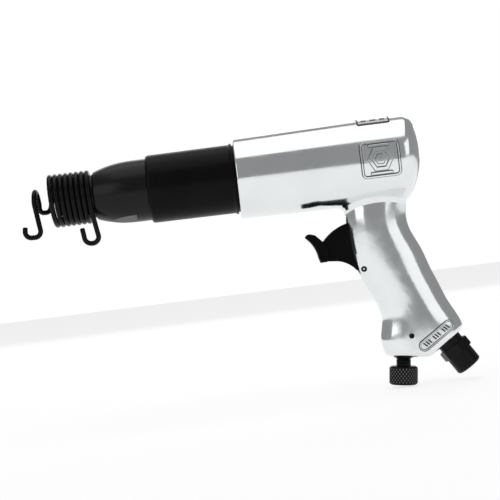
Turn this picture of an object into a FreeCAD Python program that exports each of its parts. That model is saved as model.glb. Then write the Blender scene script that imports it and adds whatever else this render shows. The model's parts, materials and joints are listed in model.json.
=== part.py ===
import FreeCAD, Part
import math
import os

# A pistol-grip pneumatic air hammer, as an assembly of separate parts. Millimetres.
# The barrel lies along X with its nose towards -X, and the grip hangs towards -Z.
# The origin is the centre of the chisel's shank bore at the barrel's front face.
# Each function below returns one sub-part, and NODES names the file that it goes to.

V = FreeCAD.Vector
ORIGIN = V(0, 0, 0)
X_DIR = V(1, 0, 0)
Y_DIR = V(0, 1, 0)
Z_DIR = V(0, 0, 1)

# ------------------------------------------------------------ driving dimensions
RUN_GAP = 0.05               # radial clearance of a running fit
FIT_GAP = 0.1                # clearance between parts that are fixed together

# Barrel, along X
SHANK_R = 5.15               # bore for a 0.401 in round chisel shank
SHANK_LEN = 36.0
NOSE_R = 14.5
NOSE_LEN = 20.4
OGIVE_START_R = 16.0
OGIVE_END_X = 47.0
OGIVE_R = 72.0
BARREL_R = 20.7
SHOULDER_X = 57.0            # the sleeve butts against this step
BARREL_REAR_R = 20.2
THREAD_R = 19.9
THREAD_X = 186.0
BARREL_END_X = 206.0
PISTON_BORE_R = 9.55         # nominal 3/4 in bore
PISTON_BORE_X = 38.0
FLAT_DISTANCE = 19.05        # wrench flats, 38.1 across
FLAT_X = 31.0
FLAT_LEN = 16.6
FLAT_ANGLE = 75.0            # of a flat's normal, below the horizontal
FEED_R = 1.75                # return air passages in the barrel wall
FEED_RADIUS = 14.9
FEED_X = 64.0
EXHAUST_R = 2.5
EXHAUST_X = 130.0
BARREL_ORING_X = 181.0
BARREL_ORING_R = 1.3

# Piston
PISTON_LEN = 63.0
PISTON_X = 141.0

# Sleeve
SLEEVE_R = 22.7
SLEEVE_LIP_R = 23.7
SLEEVE_VISIBLE_END = 115.2
SLEEVE_END_X = 123.0

# Housing, barrel part
HOUSING_X = 116.5
HOUSING_FRONT_R = 27.0
HOUSING_R = 28.6
TAPER_END_X = 196.0
COUNTERBORE_R = 24.2
COUNTERBORE_LEN = 8.0
EXHAUST_BORE_R = 21.6
CHAMBER_R = 19.0
CHAMBER_END_X = 230.0
DOME_R = 55.7
DOME_CENTRE = V(184.2, 0, 5.4)
DOME_EDGE_R = 8.0

# Grip: height, front and back of the outline, half width, squareness of the section
GRIP_SECTIONS = [
    (-4.0, 189.0, 222.0, 11.5, 2.2),
    (-18.0, 187.0, 225.0, 13.4, 2.2),
    (-31.0, 185.4, 226.6, 14.4, 2.2),
    (-40.5, 185.4, 225.8, 14.7, 2.2),
    (-48.0, 185.6, 227.4, 14.8, 2.2),
    (-57.0, 186.1, 231.4, 14.9, 2.2),
    (-66.0, 187.5, 234.8, 15.0, 2.2),
    (-75.0, 190.2, 237.6, 15.1, 2.2),
    (-84.0, 193.6, 241.1, 15.2, 2.2),
    (-92.0, 197.6, 244.0, 15.3, 2.25),
    (-99.0, 200.3, 246.9, 15.5, 2.3),
    (-105.0, 201.2, 250.0, 15.8, 2.35),
    (-112.0, 200.3, 253.3, 16.1, 2.4),
    (-121.0, 198.9, 254.6, 16.3, 2.4),
    (-136.0, 198.0, 255.0, 16.3, 2.4),
    (-150.0, 197.4, 255.0, 16.0, 2.4),
]
SECTION_POINTS = 20
BOTTOM_POINT = V(212.7, 0, -131.6)    # bottom face, on the regulator's axis
BOTTOM_TILT = 7.1                     # regulator axis, degrees from vertical
INLET_POINT = V(243.5, 0, -124.4)     # inlet face, on the inlet's axis
INLET_TILT = 32.6
BASE_EDGE_R = 4.0
BASE_CORNER_R = 9.0                   # between the bottom and inlet faces
JUNCTION_R = 5.0

# Trigger
PIVOT = V(193.0, 0, -70.5)
PIVOT_PIN_R = 1.5
PIVOT_PIN_HALF = 8.6
PIVOT_RECESS_R = 1.95
PIVOT_BOSS_R = 3.5
PIVOT_PIN_PROUD = 1.4                 # length of the pin in each recess
TRIGGER_OUTER_R = 32.5                # rounded top edges of the web, about the pivot
TRIGGER_INNER_R = 36.3
TRIGGER_WEB = 10.0
TRIGGER_PAD = 15.6
TRIGGER_EDGE_R = 1.2
SLOT_WIDTH = 10.6
SLOT_REAR_X = 203.0
SLOT_TOP_Z = -33.6
SLOT_LOW_Z = -72.2
SLOT_END_R = 3.9

# Throttle, along X inside the grip
THROTTLE_Z = -52.0
PLUNGER_TIP_X = 196.5
PLUNGER_R = 2.0
PLUNGER_ORING_X = 204.6
SEAT_X = 212.0
SEAT_R = 3.2
THROTTLE_BORE_R = 5.05
THROTTLE_END_X = 224.0
THROTTLE_VALVE_X = 213.0
SPRING_X = 216.5
SPRING_R = 2.9
SPRING_WIRE_R = 0.45
SPRING_TURNS = 5.0
UPFLOW_X = 209.0

# Valve pack, between the barrel's rear end and the chamber's floor
VALVE_JOINT_X = 213.5
VALVE_END_X = 228.5
VALVE_DISC_R = 9.6
VALVE_DISC_T = 1.6
VALVE_TRAVEL = 1.2
DOWEL_R = 1.25
DOWEL_RADIUS = 15.2

# Regulator: u runs along its axis from the grip's bottom face, outwards
REG_FLANGE_R = 6.6
REG_FLANGE_U = 1.1
REG_NECK_R = 4.85
REG_PLUG_R = 4.7
REG_PLUG_DEPTH = 22.0
REG_GROOVE_R = 2.35
REG_ORING_GROOVE_R = 3.5
KNOB_R = 9.55
KNOB_U = 6.8
KNOB_END_U = 19.3
KNOB_CHAMFER = 1.2
REG_ORING_U = -7.0
REG_PIN_U = -14.0
REG_PIN_OFFSET = 3.95
REG_PIN_R = 1.5
REG_PIN_HALF = 11.0
REG_PIN_RECESS_R = 1.8

# Inlet bushing: u runs along its axis from the inlet face, outwards
COLLAR_R = 8.5
COLLAR_U = 4.6
HEX_AF = 19.05
HEX_TURN = 78.0              # of a corner, from upright towards the near side
HEX_U = 11.3
BUSHING_R = 9.05
BUSHING_U = 22.9
THREAD_SHANK_R = 8.0
THREAD_SHANK_LEN = 14.0
INLET_BORE_R = 5.9
INLET_BORE_LEN = 12.0
SCREEN_R = 5.2
SCREEN_SEAT_LEN = 2.0
SCREEN_T = 0.5
SCREEN_HOLE_R = 0.6
SCREEN_RING_T = 0.9
INLET_WAY_R = 3.4

# Chisel retainer, one wire bent into a coil with an arch and two hooks
WIRE_R = 1.7
COIL_R = 16.3                # to the wire's centre
COIL_PITCH = 3.57
COIL_START = 20.0            # degrees about +X from +Y
COIL_START_X = -8.7
COIL_END = 200.0 + 7 * 360.0
COIL_ARCS = 15               # stretches that the coil is swept in
HOOK_LOW_Z = -31.2           # rear hook, lowest point of the wire's centre
HOOK_TIP_RISE = 10.5
HOOK_BEND_R = 4.5
COIL_LEAVE_R = 20.0          # gentle bend where the wire leaves the coil
ARCH_R = 8.2
ARCH_Z = -0.5                # centre of the arch
LATCH_LOW = V(-12.2, 16.2, -6.4)      # the wire runs down to here from the coil's start
LATCH_BEND_R = 3.9
LATCH_GAP = 0.85             # so that its square end clears the coil's
FRONT_HOOK_R = 4.0

# Name plate, curved over the top of the housing
PLATE_X = 199.5
PLATE_LEN = 22.0
PLATE_HALF_ANGLE = 33.0
PLATE_T = 0.4
PLATE_GAP = 0.01
PLATE_CORNER_R = 1.5


# ------------------------------------------------------------ helpers
def outline(points):
    """Face in the XZ plane. A point is (x, z), or (xm, zm, x, z) for an arc through (xm, zm)."""
    edges = []
    here = V(points[0][0], 0, points[0][1])
    for point in points[1:] + [points[0]]:
        end = V(point[-2], 0, point[-1])
        if len(point) == 4:
            edges.append(Part.Arc(here, V(point[0], 0, point[1]), end).toShape())
        else:
            edges.append(Part.LineSegment(here, end).toShape())
        here = end
    return Part.Face(Part.Wire(edges))


def turned(points):
    """Solid of revolution about X, from an outline of (x, radius) points."""
    return outline(points).revolve(ORIGIN, X_DIR, 360)


def prism(points, width):
    """Outline extruded along Y, half to each side."""
    return outline(points).translated(V(0, -width / 2, 0)).extrude(V(0, width, 0))


def rod(radius, start, end):
    """Cylinder from one point to another."""
    way = end.sub(start)
    return Part.makeCylinder(radius, way.Length, start, way)


def torus(x, ring_r, wire_r):
    """Ring about the X axis."""
    return Part.makeTorus(ring_r, wire_r, V(x, 0, 0), X_DIR)


def direction(tilt):
    """Unit vector that points down, tilted in the XZ plane towards +X."""
    return V(math.sin(math.radians(tilt)), 0, -math.cos(math.radians(tilt)))


def placed(shape, base, tilt):
    """Moves a shape made along +X so that its X axis runs down from base at a tilt."""
    moved = shape.copy()
    moved.Placement = FreeCAD.Placement(base, FreeCAD.Rotation(X_DIR, direction(tilt)))
    return moved


def on_regulator(shape):
    return placed(shape, BOTTOM_POINT, -BOTTOM_TILT)


def on_inlet(shape):
    return placed(shape, INLET_POINT, INLET_TILT)


def rounded_path(points, radii):
    """Wire of straight runs through points, with a tangent arc of the given radius at each corner."""
    edges = []
    here = points[0]
    for before, corner, after, radius in zip(points, points[1:], points[2:], radii):
        back = before.sub(corner).normalize()
        ahead = after.sub(corner).normalize()
        half = back.getAngle(ahead) / 2
        reach = radius / math.tan(half)
        middle = back.add(ahead).normalize().multiply(radius / math.sin(half) - radius)
        start = corner.add(back.multiply(reach))
        end = corner.add(ahead.multiply(reach))
        if start.sub(here).Length > 1e-6:
            edges.append(Part.LineSegment(here, start).toShape())
        edges.append(Part.Arc(start, corner.add(middle), end).toShape())
        here = end
    edges.append(Part.LineSegment(here, points[-1]).toShape())
    return edges


def wire_solid(edges, radius):
    """Round wire swept along a path."""
    path = Part.Wire(edges)
    first = edges[0]
    start = first.valueAt(first.FirstParameter)
    tangent = first.tangentAt(first.FirstParameter)
    section = Part.Wire(Part.makeCircle(radius, start, tangent))
    return path.makePipeShell([section], True, False)


# ------------------------------------------------------------ barrel group
def ogive_radius(x):
    return BARREL_R - OGIVE_R + math.sqrt(OGIVE_R ** 2 - (OGIVE_END_X - x) ** 2)


def barrel():
    """Steel barrel: retainer nose, ogive with two wrench flats, piston bore and air passages."""
    ogive_x = OGIVE_END_X - math.sqrt(OGIVE_R ** 2 - (OGIVE_R + OGIVE_START_R - BARREL_R) ** 2)
    middle_x = (ogive_x + OGIVE_END_X) / 2
    ring_r = BARREL_REAR_R - BARREL_ORING_R
    body = turned([
        (0, SHANK_R), (0, NOSE_R - 0.8), (0.8, NOSE_R), (NOSE_LEN, NOSE_R),
        (ogive_x, OGIVE_START_R), (middle_x, ogive_radius(middle_x), OGIVE_END_X, BARREL_R),
        (SHOULDER_X, BARREL_R), (SHOULDER_X, BARREL_REAR_R),
        (BARREL_ORING_X - 1.5, BARREL_REAR_R), (BARREL_ORING_X - 1.5, ring_r),
        (BARREL_ORING_X + 1.5, ring_r), (BARREL_ORING_X + 1.5, BARREL_REAR_R),
        (THREAD_X, BARREL_REAR_R), (THREAD_X, THREAD_R),
        (BARREL_END_X - 1, THREAD_R), (BARREL_END_X, THREAD_R - 1), (BARREL_END_X, PISTON_BORE_R),
        (PISTON_BORE_X, PISTON_BORE_R), (SHANK_LEN, SHANK_R),
    ])
    side = 2 * BARREL_R
    for turn in (0, 180):
        flat = Part.makeBox(FLAT_LEN, side, side, V(FLAT_X, -side / 2, FLAT_DISTANCE))
        flat.rotate(ORIGIN, X_DIR, 90 + FLAT_ANGLE + turn)
        body = body.cut(flat)
    for angle in (45, 135, 225, 315):
        feed = rod(FEED_R, V(FEED_X, 0, FEED_RADIUS), V(BARREL_END_X, 0, FEED_RADIUS))
        port = rod(FEED_R, V(FEED_X + FEED_R, 0, 0), V(FEED_X + FEED_R, 0, FEED_RADIUS))
        exhaust = rod(EXHAUST_R, V(EXHAUST_X, 0, 0), V(EXHAUST_X, 0, BARREL_R + 1))
        exhaust.rotate(ORIGIN, X_DIR, 45)
        for hole in (feed, port, exhaust):
            hole.rotate(ORIGIN, X_DIR, angle)
            body = body.cut(hole)
    return body


def barrel_oring():
    return torus(BARREL_ORING_X, BARREL_REAR_R + 0.05, BARREL_ORING_R - 0.05)


def barrel_sleeve():
    """Grip sleeve over the barrel, with a lip and a notched spigot inside the housing."""
    inner = BARREL_REAR_R + FIT_GAP
    spigot_r = SLEEVE_R - 0.3
    lip_x = SLEEVE_VISIBLE_END - 1.3
    body = turned([
        (SHOULDER_X, inner), (SHOULDER_X, 21.1), (SHOULDER_X + 0.75, 22.2, SHOULDER_X + 2.4, SLEEVE_R),
        (lip_x - 0.8, SLEEVE_R + 0.3), (lip_x, SLEEVE_LIP_R), (SLEEVE_VISIBLE_END, SLEEVE_LIP_R),
        (SLEEVE_VISIBLE_END, spigot_r), (SLEEVE_END_X, spigot_r), (SLEEVE_END_X, inner),
    ])
    for turn in range(0, 360, 60):
        notch = Part.makeBox(6, 9, 6, V(SLEEVE_END_X - 4, -4.5, inner - 1))
        notch.rotate(ORIGIN, X_DIR, turn)
        body = body.cut(notch)
    return body


def piston():
    """Hammer piston, at the rear end of its stroke."""
    radius = PISTON_BORE_R - RUN_GAP
    rear = PISTON_X + PISTON_LEN
    return turned([
        (PISTON_X, 0), (PISTON_X, 6.5), (PISTON_X + 1, 7.0), (PISTON_X + 8, 7.0),
        (PISTON_X + 10, radius), (rear - 1, radius), (rear, radius - 1), (rear, 0),
    ])


# ------------------------------------------------------------ valve pack
def valve_case_front():
    """Front half of the valve case, with the recess that the valve disc moves in."""
    start = BARREL_END_X + FIT_GAP
    recess = VALVE_JOINT_X - VALVE_DISC_T - VALVE_TRAVEL - 0.2
    case_r = CHAMBER_R - FIT_GAP
    body = turned([
        (start, 5.5), (start, case_r), (start + 1.4, case_r), (start + 1.4, case_r - 2),
        (start + 5, case_r - 2), (start + 5, case_r), (VALVE_JOINT_X, case_r),
        (VALVE_JOINT_X, VALVE_DISC_R + 0.3), (recess, VALVE_DISC_R + 0.3), (recess, 5.5),
    ])
    for angle in (45, 135, 225, 315):
        hole = rod(FEED_R, V(start - 1, 0, FEED_RADIUS), V(VALVE_JOINT_X + 1, 0, FEED_RADIUS))
        hole.rotate(ORIGIN, X_DIR, angle)
        body = body.cut(hole)
    return body.cut(dowel_rods())


def valve_case_rear():
    """Rear half of the valve case, with the live air gallery."""
    case_r = CHAMBER_R - FIT_GAP
    body = turned([
        (VALVE_JOINT_X, 3), (VALVE_JOINT_X, case_r), (VALVE_END_X - 6, case_r),
        (VALVE_END_X - 4.5, case_r - 1.5), (VALVE_END_X, case_r - 1.5), (VALVE_END_X, 12),
        (VALVE_END_X - 5, 12), (VALVE_END_X - 5, 3),
    ])
    for angle in (45, 135, 225, 315):
        hole = rod(FEED_R, V(VALVE_JOINT_X - 1, 0, FEED_RADIUS), V(VALVE_JOINT_X + 5, 0, FEED_RADIUS))
        hole.rotate(ORIGIN, X_DIR, angle)
        body = body.cut(hole)
    return body.cut(dowel_rods())


def valve_disc():
    front = VALVE_JOINT_X - VALVE_DISC_T - 0.02
    return turned([
        (front, 2.5), (front, VALVE_DISC_R), (front + VALVE_DISC_T, VALVE_DISC_R),
        (front + VALVE_DISC_T, 2.5),
    ])


def dowel_rods():
    top = rod(DOWEL_R, V(VALVE_JOINT_X - 4, 0, DOWEL_RADIUS), V(VALVE_JOINT_X + 4, 0, DOWEL_RADIUS))
    low = top.copy()
    low.rotate(ORIGIN, X_DIR, 180)
    return Part.makeCompound([top, low])


def rear_gasket():
    front = VALVE_END_X + FIT_GAP
    rear = CHAMBER_END_X - FIT_GAP
    return turned([(front, 12.5), (front, 17.2), (rear, 17.2), (rear, 12.5)])


# ------------------------------------------------------------ housing
def case_solid():
    """Slightly tapered barrel case whose rear end is domed."""
    end_x = DOME_CENTRE.x + DOME_R + 5
    body = turned([
        (HOUSING_X, 0), (HOUSING_X, HOUSING_FRONT_R - 1),
        (HOUSING_X + 0.3, HOUSING_FRONT_R - 0.3, HOUSING_X + 1, HOUSING_FRONT_R),
        (TAPER_END_X, HOUSING_R), (end_x, HOUSING_R), (end_x, 0),
    ])
    dome = Part.makeSphere(DOME_R, ORIGIN)
    dome.rotate(ORIGIN, Z_DIR, 180)
    dome.translate(DOME_CENTRE)
    beyond = Part.makeBox(60, 80, 80, V(DOME_CENTRE.x + 20, -40, -40)).cut(dome)
    body = body.cut(beyond)
    rim = [edge for edge in body.Edges if is_dome_rim(edge)]
    return body.makeFillet(DOME_EDGE_R, rim)


def is_dome_rim(edge):
    middle = edge.valueAt((edge.FirstParameter + edge.LastParameter) / 2)
    on_case = abs(math.hypot(middle.y, middle.z) - HOUSING_R) < 0.01
    return on_case and edge.BoundBox.XMin > DOME_CENTRE.x + 40


def grip_section(height, front, back, half_width, squareness):
    """Closed curve round the grip at one height: an ellipse, squared off a little lower down."""
    centre = (front + back) / 2
    half_depth = (back - front) / 2
    points = []
    for i in range(SECTION_POINTS):
        angle = 2 * math.pi * i / SECTION_POINTS
        along = math.copysign(abs(math.cos(angle)) ** (2 / squareness), math.cos(angle))
        across = math.copysign(abs(math.sin(angle)) ** (2 / squareness), math.sin(angle))
        points.append(V(centre + half_depth * along, half_width * across, height))
    curve = Part.BSplineCurve()
    curve.interpolate(points, PeriodicFlag=True)
    return Part.Wire(curve.toShape())


def half_space(base, tilt):
    """Large block on the outer side of a face whose normal runs down from base at a tilt."""
    return placed(Part.makeBox(60, 120, 120, V(0, -60, -60)), base, tilt)


def grip_solid():
    """Grip from inside the barrel case down to its bottom face and its slanted inlet face."""
    grip = Part.makeLoft([grip_section(*section) for section in GRIP_SECTIONS], True, False)
    grip = grip.cut(half_space(BOTTOM_POINT, -BOTTOM_TILT))
    grip = grip.cut(half_space(INLET_POINT, INLET_TILT))
    corner = [edge for edge in grip.Edges if edge.BoundBox.ZMax < -120 and edge.BoundBox.XLength < 0.5]
    grip = rounded_if_possible(grip, corner, BASE_CORNER_R)
    lowest = [edge for edge in grip.Edges if edge.BoundBox.ZMax < -112 and edge.BoundBox.XLength > 1]
    return rounded_if_possible(grip, lowest, BASE_EDGE_R)


def rounded_if_possible(shape, edges, radius):
    """Fillets the edges, with a smaller radius where the full one doesn't fit."""
    for factor in (1.0, 0.75, 0.5, 0.25):
        try:
            rounded = shape.makeFillet(radius * factor, edges)
        except Part.OCCError:
            continue
        if rounded.isValid() and len(rounded.Solids) == 1:
            return rounded
    return shape


def trigger_slot():
    """Slot that the trigger swings in, open at the front, with a round end about its pivot."""
    front_x = SLOT_REAR_X - 40
    end = rod(SLOT_END_R, PIVOT.sub(Y_DIR * (SLOT_WIDTH / 2)), PIVOT.add(Y_DIR * (SLOT_WIDTH / 2)))
    return prism([
        (front_x, SLOT_TOP_Z), (SLOT_REAR_X, SLOT_TOP_Z), (SLOT_REAR_X, THROTTLE_Z - 8),
        (PIVOT.x + SLOT_END_R, PIVOT.z), (PIVOT.x, SLOT_LOW_Z), (front_x, SLOT_LOW_Z),
    ], SLOT_WIDTH).fuse(end)


def housing_bores():
    """Every bore in the housing, as one list of cutting solids."""
    end_x = HOUSING_X + COUNTERBORE_LEN
    stepped = turned([
        (HOUSING_X - 1, 0), (HOUSING_X - 1, COUNTERBORE_R), (end_x, COUNTERBORE_R),
        (end_x, EXHAUST_BORE_R), (THREAD_X, EXHAUST_BORE_R), (THREAD_X, THREAD_R + FIT_GAP),
        (BARREL_END_X, THREAD_R + FIT_GAP), (BARREL_END_X, CHAMBER_R), (CHAMBER_END_X, CHAMBER_R),
        (CHAMBER_END_X, 0),
    ])
    throttle = rod(THROTTLE_BORE_R, V(SLOT_REAR_X - 1, 0, THROTTLE_Z), V(THROTTLE_END_X, 0, THROTTLE_Z))
    upflow = rod(2.6, V(UPFLOW_X, 0, THROTTLE_Z + 3), V(UPFLOW_X, 0, 1 - CHAMBER_R))
    regulator = on_regulator(turned([
        (-REG_PLUG_DEPTH - 3, 0), (-REG_PLUG_DEPTH - 3, REG_PLUG_R + FIT_GAP),
        (1, REG_PLUG_R + FIT_GAP), (1, 0),
    ]))
    inlet = on_inlet(turned([
        (-THREAD_SHANK_LEN - 1, 0), (-THREAD_SHANK_LEN - 1, THREAD_SHANK_R + FIT_GAP),
        (1, THREAD_SHANK_R + FIT_GAP), (1, 0),
    ]))
    inlet_floor = INLET_POINT.sub(direction(INLET_TILT).multiply(THREAD_SHANK_LEN))
    regulator_side = BOTTOM_POINT.sub(direction(-BOTTOM_TILT).multiply(REG_PLUG_DEPTH - 2))
    regulator_top = BOTTOM_POINT.sub(direction(-BOTTOM_TILT).multiply(REG_PLUG_DEPTH + 1))
    throttle_low = V(THROTTLE_END_X - 5, 0, THROTTLE_Z)
    crossflow = rod(INLET_WAY_R, inlet_floor, regulator_side)
    supply = rod(INLET_WAY_R, regulator_top, throttle_low)
    return [stepped, throttle, upflow, regulator, inlet, crossflow, supply]


def cross_hole(middle, radius, recess_r, pin_half):
    """Hole right across the grip for a pin, wider outside the pin's ends."""
    tools = [rod(radius, middle.sub(Y_DIR * 30), middle.add(Y_DIR * 30))]
    for side in (-1, 1):
        tools.append(rod(recess_r, middle.add(Y_DIR * (side * pin_half)), middle.add(Y_DIR * (side * 30))))
    return tools


def regulator_pin_line():
    """Centre of the roll pin that keeps the regulator in, on the mid plane."""
    down = direction(-BOTTOM_TILT)
    sideways = V(-down.z, 0, down.x)
    return BOTTOM_POINT.add(down * REG_PIN_U).add(sideways * REG_PIN_OFFSET)


def handle_housing():
    """Cast housing: barrel case and pistol grip in one piece, with all its bores."""
    body = case_solid().fuse(grip_solid()).removeSplitter()
    body = rounded_if_possible(body, [edge for edge in body.Edges if is_junction(edge)], JUNCTION_R)
    tools = housing_bores() + [trigger_slot()]
    tools += cross_hole(PIVOT, PIVOT_PIN_R, PIVOT_RECESS_R, PIVOT_PIN_HALF - PIVOT_PIN_PROUD)
    tools += cross_hole(regulator_pin_line(), REG_PIN_R, REG_PIN_RECESS_R, REG_PIN_HALF)
    for tool in tools:
        body = body.cut(tool)
    return body


def is_junction(edge):
    """True for an edge where the grip meets the case."""
    steps = [edge.FirstParameter + (edge.LastParameter - edge.FirstParameter) * i / 4 for i in range(1, 4)]
    for step in steps:
        point = edge.valueAt(step)
        if not (-30 < point.z < -14 and abs(point.y) < 17 and 180 < point.x < 232):
            return False
    middle = edge.valueAt(steps[1])
    return abs(math.hypot(middle.y, middle.z) - HOUSING_R) < 0.8 or middle.x > 224


def name_plate():
    """Thin plate with round corners, bent round the top of the case."""
    half_width = (HOUSING_R + PLATE_T) * math.sin(math.radians(PLATE_HALF_ANGLE))
    blank = Part.makeBox(PLATE_LEN, 2 * half_width, HOUSING_R, V(PLATE_X, -half_width, HOUSING_R / 2))
    upright = [edge for edge in blank.Edges if edge.BoundBox.ZLength > 1 and edge.BoundBox.XLength < 1
               and edge.BoundBox.YLength < 1]
    blank = blank.makeFillet(PLATE_CORNER_R, upright)
    skin = turned([
        (PLATE_X, HOUSING_R + PLATE_GAP), (PLATE_X, HOUSING_R + PLATE_T),
        (PLATE_X + PLATE_LEN, HOUSING_R + PLATE_T), (PLATE_X + PLATE_LEN, HOUSING_R + PLATE_GAP),
    ])
    return blank.common(skin)


# ------------------------------------------------------------ trigger and throttle
def arc_point(radius, x):
    """Point of a circle about the trigger's pivot, above it, at a given x."""
    return (x, PIVOT.z + math.sqrt(radius ** 2 - (x - PIVOT.x) ** 2))


def trigger():
    """Trigger: a narrow web in the slot and a wider, hollowed finger pad."""
    boss = PIVOT_BOSS_R
    inner = TRIGGER_INNER_R
    outer = TRIGGER_OUTER_R
    web = prism([
        (165.0, -52.0), arc_point(outer, 168.0), arc_point(outer, 176.0) + arc_point(outer, 185.6),
        arc_point(inner, 186.0), arc_point(inner, 191.0) + arc_point(inner, 195.4),
        (PLUNGER_TIP_X - FIT_GAP, THROTTLE_Z + 3), (PLUNGER_TIP_X - FIT_GAP, THROTTLE_Z - 3),
        (PIVOT.x + boss, PIVOT.z), (PIVOT.x, PIVOT.z - boss, PIVOT.x - boss, PIVOT.z),
        (188.8, -71.0), (184.6, -66.8, 176.2, -63.3), (169.5, -62.6), (165.6, -60.0),
    ], TRIGGER_WEB)
    pad = prism([
        (156.8, -45.2), (158.2, -43.5, 160.4, -43.2), (163.5, -44.2), (167.9, -48.9),
        (170.7, -54.6, 170.4, -61.4), (169.5, -62.9), (165.2, -63.0), (164.2, -59.6),
        (162.9, -54.2, 160.1, -48.9),
    ], TRIGGER_PAD)
    side_edges = [edge for edge in pad.Edges if edge.BoundBox.YLength < 0.01]
    pad = rounded_if_possible(pad, side_edges, TRIGGER_EDGE_R)
    body = web.fuse(pad).removeSplitter()
    return body.cut(rod(PIVOT_PIN_R + RUN_GAP, PIVOT.sub(Y_DIR * 10), PIVOT.add(Y_DIR * 10)))


def trigger_pin():
    """Cross pin that the trigger swings on, with rounded ends."""
    half = PIVOT_PIN_HALF
    pin = rod(PIVOT_PIN_R, PIVOT.sub(Y_DIR * half), PIVOT.add(Y_DIR * half))
    ends = [edge for edge in pin.Edges if edge.BoundBox.YLength < 0.1]
    return pin.makeFillet(0.4, ends)


def on_throttle(shape):
    return shape.translated(V(0, 0, THROTTLE_Z))


def throttle_bushing():
    """Bushing that guides the plunger and carries the throttle valve's seat."""
    front = SLOT_REAR_X + 0.2
    outer = THROTTLE_BORE_R - 0.05
    guide_r = PLUNGER_R + RUN_GAP
    guide_end = PLUNGER_ORING_X + 1.6
    ring_x = PLUNGER_ORING_X
    body = turned([
        (front, guide_r), (front, outer), (SEAT_X, outer), (SEAT_X, SEAT_R), (guide_end, SEAT_R),
        (guide_end, guide_r), (ring_x + 0.6, guide_r), (ring_x + 0.6, SEAT_R - 0.05),
        (ring_x - 0.6, SEAT_R - 0.05), (ring_x - 0.6, guide_r),
    ])
    body = body.cut(rod(1.6, V(UPFLOW_X, 0, 2), V(UPFLOW_X, 0, outer + 1)))
    return on_throttle(body)


def throttle_plunger():
    """Push rod from the trigger to the throttle valve."""
    return on_throttle(turned([
        (PLUNGER_TIP_X, 0), (PLUNGER_TIP_X + 0.5, 1.5, PLUNGER_TIP_X + 1.8, PLUNGER_R),
        (THROTTLE_VALVE_X + 2, PLUNGER_R), (THROTTLE_VALVE_X + 2, 0),
    ]))


def plunger_oring():
    return on_throttle(torus(PLUNGER_ORING_X, 2.6, 0.52))


def valve_seal():
    return on_throttle(turned([
        (SEAT_X + 0.02, PLUNGER_R), (SEAT_X + 0.02, 4.0), (THROTTLE_VALVE_X, 4.0),
        (THROTTLE_VALVE_X, PLUNGER_R),
    ]))


def throttle_valve():
    """Valve head that the air and the spring press onto the seat."""
    end = THROTTLE_VALVE_X + 2
    return on_throttle(turned([
        (THROTTLE_VALVE_X, PLUNGER_R), (THROTTLE_VALVE_X, 4.0), (end, 4.0), (end + 0.3, 2.2),
        (SPRING_X + 1, 2.2), (SPRING_X + 1, 0), (end, 0), (end, PLUNGER_R),
    ]))


def throttle_spring():
    """Small compression spring behind the throttle valve."""
    start = THROTTLE_VALVE_X + 2 + SPRING_WIRE_R + 0.35
    length = THROTTLE_END_X - SPRING_WIRE_R - 0.1 - start
    helix = Part.makeHelix(length / SPRING_TURNS, length, SPRING_R)
    helix.rotate(ORIGIN, Y_DIR, 90)
    helix.translate(V(start, 0, THROTTLE_Z))
    return wire_solid([helix.Edges[0]], SPRING_WIRE_R)


# ------------------------------------------------------------ regulator
def air_regulator():
    """Rotary regulator: plug with a side port inside the grip, neck, and knurled knob outside."""
    groove = REG_PIN_R + 0.3
    ring = 0.8
    body = turned([
        (-REG_PLUG_DEPTH, 0), (-REG_PLUG_DEPTH, REG_PLUG_R),
        (REG_PIN_U - groove, REG_PLUG_R), (REG_PIN_U - groove, REG_GROOVE_R),
        (REG_PIN_U + groove, REG_GROOVE_R), (REG_PIN_U + groove, REG_PLUG_R),
        (REG_ORING_U - ring, REG_PLUG_R), (REG_ORING_U - ring, REG_ORING_GROOVE_R),
        (REG_ORING_U + ring, REG_ORING_GROOVE_R), (REG_ORING_U + ring, REG_PLUG_R),
        (FIT_GAP, REG_PLUG_R), (FIT_GAP, REG_FLANGE_R), (REG_FLANGE_U, REG_FLANGE_R),
        (REG_FLANGE_U, REG_NECK_R), (KNOB_U, REG_NECK_R),
        (KNOB_U, KNOB_R - KNOB_CHAMFER), (KNOB_U + KNOB_CHAMFER, KNOB_R),
        (KNOB_END_U - KNOB_CHAMFER, KNOB_R), (KNOB_END_U, KNOB_R - KNOB_CHAMFER), (KNOB_END_U, 0),
    ])
    way = rod(3.0, V(-REG_PLUG_DEPTH - 1, 0, 0), V(-REG_PLUG_DEPTH + 4.5, 0, 0))
    port = rod(1.8, V(-REG_PLUG_DEPTH + 2.2, 0, 0), V(-REG_PLUG_DEPTH + 2.2, 0, 8))
    return on_regulator(body.cut(way).cut(port))


def regulator_oring():
    ring_r = (REG_ORING_GROOVE_R + REG_PLUG_R + FIT_GAP) / 2
    return on_regulator(torus(REG_ORING_U, ring_r, ring_r - REG_ORING_GROOVE_R - 0.03))


def regulator_pin():
    """Roll pin across the grip, which sits in the regulator's groove."""
    middle = regulator_pin_line()
    half = Y_DIR * REG_PIN_HALF
    pin = rod(REG_PIN_R, middle.sub(half), middle.add(half))
    pin = pin.cut(rod(0.8, middle.sub(half), middle.add(half)))
    slit = placed(Part.makeBox(3, 40, 0.4, V(0, -20, -0.2)), middle, 30)
    return pin.cut(slit)


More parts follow.
